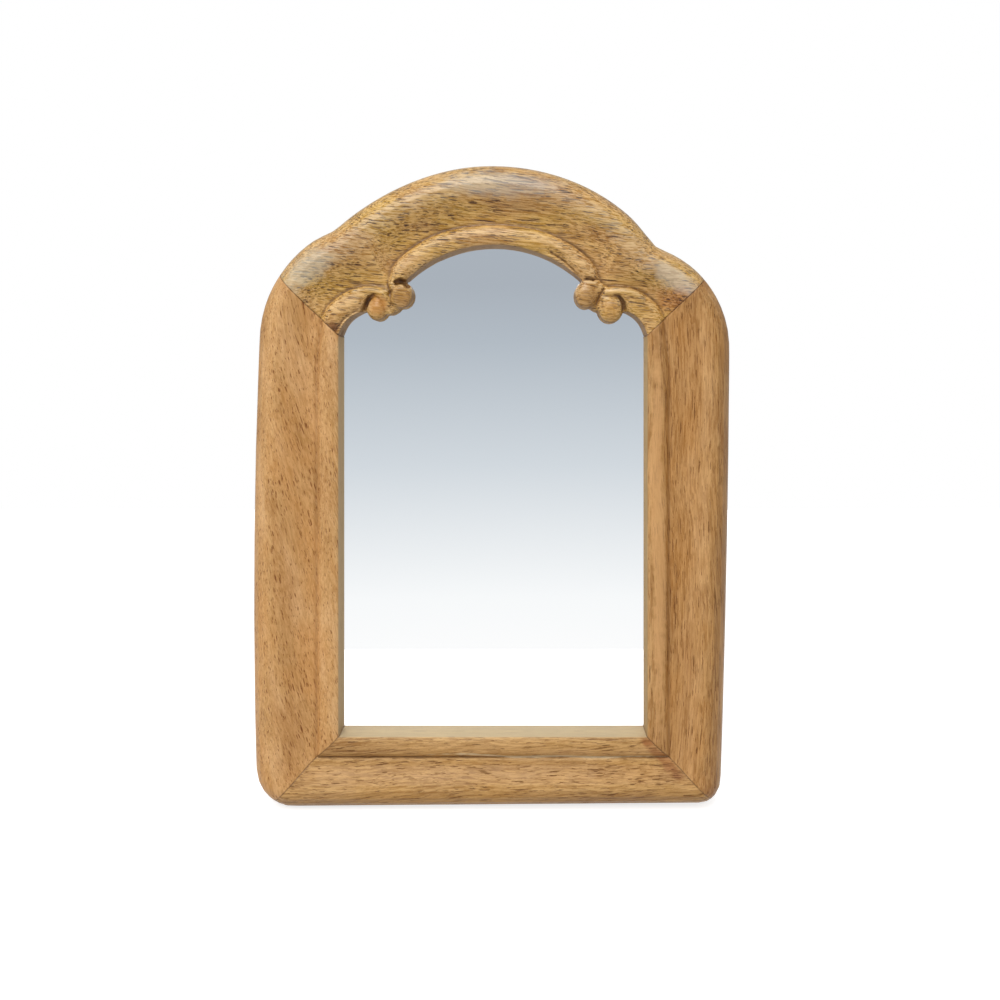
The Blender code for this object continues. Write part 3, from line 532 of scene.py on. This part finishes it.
# Right stile: a browner board of the same wood, its vessels nearly along it,
# so they show as long streaks. A pale streak down its bead is a painted highlight where the bead faces the
# light.
bottom_right = Vector((glass_middle + half_sight, 0, sill))
top_right = Vector((glass_middle + half_sight, 0, spring))
right_mitres = (
    (bottom_right, Vector((-diagonal, 0, -diagonal))),
    (top_right, Vector((-diagonal, 0, diagonal))))
right_stile = sanded_member("right_stile_sanded", "right_stile", right_mitres, sanding_rounds=4)
brown_wood = oiled_hardwood(
    "brown_sanded_hardwood", turn=(0, 91, 3), cut=(0.9, 0.4, 0.2),
    tones=("#8A5F31", "#A67945", "#C69A67"), warm="#A06C30", heart="#8E5A2A",
    fibre_tones=("#80521F", "#CFA067"), fibre_share=0.36,
    vessel="#62360F", vessel_sets=((22, 0.7, 0.32), (10, 0.65, 0.32), (5, 0.45, 0.3)),
    crease_dirt_and_shade=0.45, shade=0.1, rub_and_sheen=0.2, rub_and_sheen_colour="#E0C48E", raw="#A2895E", roughness=0.5, varnish=0.05,
    # The pale streak down the bead is a painted highlight
    stains=(("MIX", (0.0522, -0.008, 0.09), 0, (0.0026, 0.03, 0.07), "#D2A26C", 0.6),))
dress(right_stile, brown_wood)

# Bottom rail: a straw-coloured board, its bead cut apart by a deep quirk, so its
# skin is finer. Glue and stain ran out at its right mitre. A pale line under
# the quirk is a painted highlight where the field's edge catches the light.
bottom_mitres = (
    (bottom_left, Vector((-diagonal, 0, diagonal))),
    (bottom_right, Vector((diagonal, 0, diagonal))))
bottom_rail = sanded_member("bottom_rail_sanded", "bottom_rail", bottom_mitres, sanding_rounds=2,
                            grid=0.00022)
straw_wood = oiled_hardwood(
    "straw_sanded_hardwood", turn=(0, 3, 4), cut=(0.2, 0.8, 0.5),
    tones=("#8E6534", "#A87F47", "#C29964"), warm="#AE803D", heart="#8E6432",
    fibre_tones=("#7C5022", "#D4A970"), fibre_share=0.38,
    vessel="#5A320C", vessel_sets=((20, 0.7, 0.34), (8, 0.65, 0.34), (4, 0.42, 0.32)),
    crease_dirt_and_shade=0.9, shade=0.12, rub_and_sheen=0.12, rub_and_sheen_colour="#E0C48E", raw="#B6A686", roughness=0.48, varnish=0.1,
    stains=(("MULTIPLY", (0.0545, -0.008, 0.0165), -45, (0.011, 0.03, 0.0022), "#CEA894", 0.65),
            ("MULTIPLY", (0.0500, -0.008, 0.0222), 0, (0.0030, 0.03, 0.0016), "#D4AE98", 0.6),
            # The pale line under the quirk is a painted highlight
            ("MIX", (0.02, -0.008, 0.0169), 0, (0.045, 0.03, 0.0006), "#DCCBA8", 0.6)))
dress(bottom_rail, straw_wood)

# Top rail: a golden board, carved with gouges and sanded over, with the arch
# bead, two hooked side beads and four round eyes in one piece with it.
# A ridge is a half-round band, a hollow a half-round cut, a round a quarter-round
# edge, and a flat a facet; each has its half width in millimetres.
left_strokes = (
    ("round", 1.8, ((-17.0, 173.5, 17.3), (-21.1, 171.0, 17.3), (-24.3, 169.1, 17.2), (-26.8, 166.9, 17.1))),
    ("round", 1.8, ((-49.3, 150.3, 17.4), (-46.5, 154.0, 17.4), (-43.7, 156.2, 17.3), (-40.2, 157.5, 17.0))),
    ("ridge", 1.3, ((-33.0, 164.1, 15.9), (-31.8, 163.9, 16.0))),
    ("ridge", 1.4, ((-42.8, 162.6, 17.2), (-39.3, 163.3, 17.3), (-36.8, 163.1, 17.4), (-34.9, 162.2, 17.4),
                    (-33.5, 160.6, 17.1), (-32.7, 158.4, 16.6), (-32.1, 155.9, 15.9))),
    ("flat", 4.4, ((-28.3, 165.3, 17.9), (-28.3, 157.8, 17.0))),
    ("flat", 4.4, ((-28.3, 160.9, 17.5), (-28.3, 157.2, 15.7))),
    ("hollow", 0.9, ((-29.9, 165.9, 15.4), (-28.6, 166.2, 14.4), (-27.2, 165.9, 13.8), (-26.3, 164.8, 13.8))),
    ("hollow", 0.35, ((-32.6, 166.9, 15.7), (-32.7, 165.3, 15.5), (-32.3, 163.4, 15.6), (-31.6, 161.9, 15.9),
                      (-31.8, 160.3, 15.9), (-31.3, 158.7, 15.5))),
    ("hollow", 0.7, ((-37.0, 161.7, 15.9), (-38.4, 160.8, 15.0), (-39.3, 159.2, 14.6), (-40.1, 157.2, 14.4))),
    ("hollow", 0.3, ((-36.5, 161.2, 16.3), (-34.9, 160.3, 16.5), (-34.0, 158.7, 16.3), (-33.5, 156.8, 16.0),
                     (-33.4, 155.0, 15.6))))
right_strokes = (
    ("round", 1.8, ((18.7, 175.3, 17.3), (22.2, 173.1, 17.3), (25.6, 170.0, 17.2), (28.1, 166.9, 17.0))),
    ("round", 1.4, ((41.9, 155.3, 17.2), (44.7, 153.7, 17.3), (47.2, 150.3, 17.3), (48.2, 146.8, 17.3))),
    ("ridge", 1.5, ((29.4, 165.0, 17.5), (31.9, 165.0, 17.3), (34.1, 164.4, 16.7))),
    ("ridge", 1.4, ((33.1, 163.7, 17.0), (32.8, 161.5, 16.7))),
    ("ridge", 1.3, ((34.7, 163.9, 16.5), (35.6, 163.7, 16.6))),
    ("ridge", 1.4, ((36.0, 162.6, 17.0), (38.8, 163.0, 17.3), (41.9, 162.8, 17.6), (45.4, 162.0, 17.7),
                    (47.9, 160.3, 17.6))),
    ("ridge", 1.6, ((34.7, 161.2, 16.7), (36.6, 160.3, 17.3))),
    ("hollow", 0.35, ((28.1, 166.6, 16.2), (30.0, 167.0, 16.0), (31.9, 166.6, 15.8), (33.4, 166.9, 15.7),
                      (35.6, 166.1, 15.6))),
    ("hollow", 0.35, ((35.5, 164.1, 15.8), (34.2, 161.9, 15.7), (33.3, 159.7, 15.4), (32.5, 157.5, 15.0))),
    ("hollow", 0.6, ((38.9, 161.7, 16.4), (40.2, 161.2, 15.7), (41.3, 159.8, 15.1), (41.6, 158.1, 14.9),
                     (41.4, 155.6, 14.7))))
top_mitres = (
    (top_left, Vector((-diagonal, 0, -diagonal))),
    (top_right, Vector((diagonal, 0, -diagonal))))
top_rail = sanded_member("top_rail_carved", "top_rail", top_mitres, sanding_rounds=4,
                         strokes=left_strokes + right_strokes)
# The eyes' end grain, the stained ends at the mitres, and patches of painted sheen on the shoulders and the
# crown
eye_marks = (
    ("MIX", (-0.028, -0.012, 0.1615), 0, (0.0042, 0.02, 0.0042), "#9A6C38", 0.45),
    ("MIX", (0.03, -0.012, 0.1622), 0, (0.0042, 0.02, 0.0042), "#A07440", 0.5),
    ("MIX", (-0.0359, -0.012, 0.1578), 0, (0.0036, 0.02, 0.004), "#B87E3A", 0.7),
    ("MIX", (0.0369, -0.012, 0.1575), 0, (0.0036, 0.02, 0.004), "#BC8844", 0.4))
end_stains = (
    ("MULTIPLY", (0.0575, -0.008, 0.16), 0, (0.007, 0.02, 0.005), "#DCB8A0", 0.6),
    ("MULTIPLY", (-0.05, -0.008, 0.1505), 0, (0.003, 0.02, 0.004), "#A08478", 0.9))
painted_sheen_patches = (
    ("MIX", (-0.0563, -0.0115, 0.1692), 37, (0.011, 0.02, 0.0055), "#C6BCA4", 0.45),
    ("MIX", (0.0568, -0.0115, 0.167), -37, (0.011, 0.02, 0.004), "#B6B5AE", 0.35),
    ("MIX", (0.0028, -0.0115, 0.1965), 0, (0.022, 0.02, 0.005), "#B6B5AE", 0.3))
golden_wood = oiled_hardwood(
    "golden_carved_hardwood", turn=(0, -6, 1), cut=(0.5, 0.5, 0.9),
    tones=("#966A2E", "#BE8E44", "#D4A868"), warm="#C2982C", heart="#98622A",
    fibre_tones=("#744812", "#E2BC82"), fibre_share=0.48,
    vessel="#381602", vessel_sets=((13, 0.72, 0.45), (7, 0.68, 0.45), (3.5, 0.42, 0.36)),
    # Its raw colour is bare sawn wood, made darker as painted shade under the arch lip and the eyes
    crease_dirt_and_shade=1, shade=0.5, rub_and_sheen=0.22, rub_and_sheen_colour="#DCC8A4", raw="#806240", roughness=0.28, varnish=0.12,
    sheen_haze=(0.13, "#B6B5AE"), stains=eye_marks + end_stains + painted_sheen_patches)
dress(top_rail, golden_wood)

# Mirror: float glass, silvered, seen through its front. It is as smooth as glass
# comes, but for a trace of haze.
silvered, tree, shader, place = new_material("silvered_float_glass")
shader.inputs["Metallic"].default_value = 1
shader.inputs["Base Color"].default_value = linear("#FEFEFE")
film = put(tree, "TexNoise", {"Vector": place, "Scale": 60, "Detail": 3})
film_level = put(tree, "MapRange", {"Value": film.outputs[0], "To Min": 0.0, "To Max": 0.03})
tree.links.new(film_level.outputs[0], shader.inputs["Roughness"])
dress(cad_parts["mirror_glass"], silvered)

# Backing board: brown hardboard, pressed wet from wood fibre. Its back keeps
# the print of the wire screen that the water ran out through, and it is dull.
board, tree, shader, place = new_material("pressed_hardboard")
felt = put(tree, "TexNoise", {"Vector": place, "Scale": 900, "Detail": 4, "Roughness": 0.7})
cloud = put(tree, "TexNoise", {"Vector": place, "Scale": 45, "Detail": 3})
brown = put(tree, "Mix", {
    share_in: felt.outputs[0], under_in: linear("#58402C"), over_in: linear("#967552")}, data_type="RGBA")
wet = put(tree, "MapRange", {
    "Value": cloud.outputs[0], "From Min": 0.35, "From Max": 0.65, "To Min": 0, "To Max": 0.3})
clouded = put(tree, "Mix", {
    share_in: wet.outputs[0], under_in: brown.outputs[mix_out], over_in: linear("#5C4430")}, data_type="RGBA")
# The screen's wires lie 1.3 mm apart
wires = []
for direction in ("X", "Z"):
    wire = put(tree, "TexWave", {"Vector": place, "Scale": 240, "Distortion": 0.6, "Detail": 1},
               bands_direction=direction)
    wires.append(wire.outputs["Fac"])
screen = put(tree, "Math", {0: wires[0], 1: wires[1]}, operation="MINIMUM")
pressed = put(tree, "MapRange", {
    "Value": screen.outputs[0], "From Min": 0.0, "From Max": 0.5, "To Min": 0.25, "To Max": 0})
dimpled = put(tree, "Mix", {
    share_in: pressed.outputs[0], under_in: clouded.outputs[mix_out], over_in: linear("#4A3524")},
    data_type="RGBA")
tree.links.new(dimpled.outputs[mix_out], shader.inputs["Base Color"])
print_depth = put(tree, "Math", {0: screen.outputs[0], 1: 0.7, 2: felt.outputs[0]}, operation="MULTIPLY_ADD")
nap = put(tree, "Bump", {"Strength": 0.5, "Distance": 0.00012, "Height": print_depth.outputs[0]})
tree.links.new(nap.outputs[0], shader.inputs["Normal"])
shader.inputs["Roughness"].default_value = 0.75
dress(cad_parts["backing_board"], board)

# Brads, V-nails and the hanger's screw: bright steel, drawn as wire and strip and
# scuffed in handling, so its gloss is uneven.
steel, tree, shader, place = new_material("bright_drawn_steel")
steel_scuffs = put(tree, "TexNoise", {"Vector": place, "Scale": 1500, "Detail": 3})
steel_gloss = put(tree, "MapRange", {"Value": steel_scuffs.outputs[0], "To Min": 0.25, "To Max": 0.5})
tree.links.new(steel_gloss.outputs[0], shader.inputs["Roughness"])
dulled = put(tree, "Mix", {
    share_in: steel_scuffs.outputs[0], under_in: linear("#C2C4C6"), over_in: linear("#84868A")},
    data_type="RGBA")
tree.links.new(dulled.outputs[mix_out], shader.inputs["Base Color"])
drawn = put(tree, "Bump", {"Strength": 0.2, "Distance": 0.00002, "Height": steel_scuffs.outputs[0]})
tree.links.new(drawn.outputs[0], shader.inputs["Normal"])
shader.inputs["Metallic"].default_value = 1
for node_name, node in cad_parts.items():
    if node_name.startswith(("brad_", "v_nail_", "hanger_screw")):
        dress(node, steel)

# Hanger: a strap of thin steel folded round a D-ring of wire, both brass-plated.
# The plating is glossy, and tarnished in spots.
brass, tree, shader, place = new_material("brass_plated_steel")
brass_scuffs = put(tree, "TexNoise", {"Vector": place, "Scale": 1200, "Detail": 3})
brass_gloss = put(tree, "MapRange", {"Value": brass_scuffs.outputs[0], "To Min": 0.2, "To Max": 0.42})
tree.links.new(brass_gloss.outputs[0], shader.inputs["Roughness"])
tarnish = put(tree, "MapRange", {
    "Value": brass_scuffs.outputs[0], "From Min": 0.45, "From Max": 0.7, "To Min": 0, "To Max": 0.6})
plated = put(tree, "Mix", {
    share_in: tarnish.outputs[0], under_in: linear("#DDBB6A"), over_in: linear("#A5803C")}, data_type="RGBA")
tree.links.new(plated.outputs[mix_out], shader.inputs["Base Color"])
brushed = put(tree, "Bump", {"Strength": 0.2, "Distance": 0.00002, "Height": brass_scuffs.outputs[0]})
tree.links.new(brushed.outputs[0], shader.inputs["Normal"])
shader.inputs["Metallic"].default_value = 1
for node_name in ("hanger_strap", "hanging_ring"):
    dress(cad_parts[node_name], brass)

# Studio floor: pale grey paper that glows only to the camera and to reflections,
# so that it looks white and keeps the mirror's shadow.
bpy.ops.object.select_all(action="DESELECT")
bpy.ops.mesh.primitive_plane_add(size=1, location=(0, 0.25, 0))
floor = bpy.context.active_object
floor.scale = (1.6, 0.85, 1)
bpy.ops.object.transform_apply(location=True, rotation=True, scale=True)
floor.name = "floor"
paper = bpy.data.materials.new("white_paper")
paper.use_nodes = True
tree = paper.node_tree
shader = tree.nodes["Principled BSDF"]
shader.inputs["Base Color"].default_value = linear("#BEBEBE")
shader.inputs["Roughness"].default_value = 0.9
ray = put(tree, "LightPath")
looked_at = put(tree, "Math", {0: ray.outputs["Is Camera Ray"], 1: ray.outputs["Is Glossy Ray"]},
                operation="MAXIMUM")
glow = put(tree, "Math", {0: looked_at.outputs[0], 1: 0.75}, operation="MULTIPLY")
shader.inputs["Emission Color"].default_value = (1, 1, 1, 1)
tree.links.new(glow.outputs[0], shader.inputs["Emission Strength"])
floor.data.materials.append(paper)

# Studio surround: white to the camera. What a mirror or a gloss sees is white
# below and a dim blue-grey wall above, and what lights the piece is a soft dome.
world = bpy.data.worlds.new("studio")
bpy.context.scene.world = world
world.use_nodes = True
tree = world.node_tree
ray = put(tree, "LightPath")
way = put(tree, "SeparateXYZ", {0: put(tree, "TexCoord").outputs["Generated"]})
height = put(tree, "MapRange", {"Value": way.outputs["Z"], "From Min": -0.3, "From Max": 0.2})
wall = put(tree, "ValToRGB", {0: height.outputs[0]})
stops = ((0.0, "#FFFFFF"), (0.15, "#F8FAFB"), (0.42, "#D2D9DF"), (0.68, "#B3BCC5"), (0.8, "#AAB2BB"))
ramp = wall.color_ramp
ramp.elements[0].position, ramp.elements[0].color = stops[0][0], linear(stops[0][1])
ramp.elements[1].position, ramp.elements[1].color = stops[-1][0], linear(stops[-1][1])
for position, colour in stops[1:-1]:
    ramp.elements.new(position).color = linear(colour)
dome = put(tree, "MapRange", {
    "Value": way.outputs["Z"], "From Min": -1, "From Max": 1, "To Min": 0.12, "To Max": 0.6})
around_piece = put(tree, "Mix", {
    share_in: ray.outputs["Is Glossy Ray"], under_in: dome.outputs[0], over_in: wall.outputs[0]},
    data_type="RGBA")
surround = put(tree, "Mix", {
    share_in: ray.outputs["Is Camera Ray"], under_in: around_piece.outputs[mix_out], over_in: (1, 1, 1, 1)},
    data_type="RGBA")
tree.links.new(surround.outputs[mix_out], tree.nodes["Background"].inputs[0])


# Studio lamps: two soft boxes above and in front, one at the left, and one behind
# that is so small that it can't graze the outer edge.
def soft_box(name, place, size, power):
    """A square soft box that looks at the middle of the mirror."""
    lamp = bpy.data.lights.new(name, "AREA")
    lamp.size = size
    lamp.energy = power
    box = bpy.data.objects.new(name, lamp)
    bpy.context.collection.objects.link(box)
    box.location = place
    box.rotation_euler = (Vector((0, 0, 0.1)) - Vector(place)).to_track_quat("-Z", "Y").to_euler()


soft_box("key_soft_box", (-0.02, -0.42, 0.78), 0.4, 1.4)
soft_box("window", (-0.12, -0.62, 0.62), 0.5, 4.2)
soft_box("side_soft_box", (-0.7, -0.4, 0.3), 0.6, 1.3)
soft_box("back_soft_box", (0, 0.8, 0.1), 0.12, 2)

# Camera: 0.3 m off and level, right of the middle, shifted to the photograph's frame.
camera = bpy.data.cameras.new("camera")
camera.sensor_width = 36
camera.lens = 33.75
camera.shift_x = -0.024
camera.shift_y = -0.12
viewpoint = bpy.data.objects.new("camera", camera)
bpy.context.collection.objects.link(viewpoint)
viewpoint.location = (0.01024, -0.30305, 0.1352)
viewpoint.rotation_euler = (math.pi / 2, 0, 0)
bpy.context.scene.camera = viewpoint
bpy.context.scene.view_settings.view_transform = "Standard"
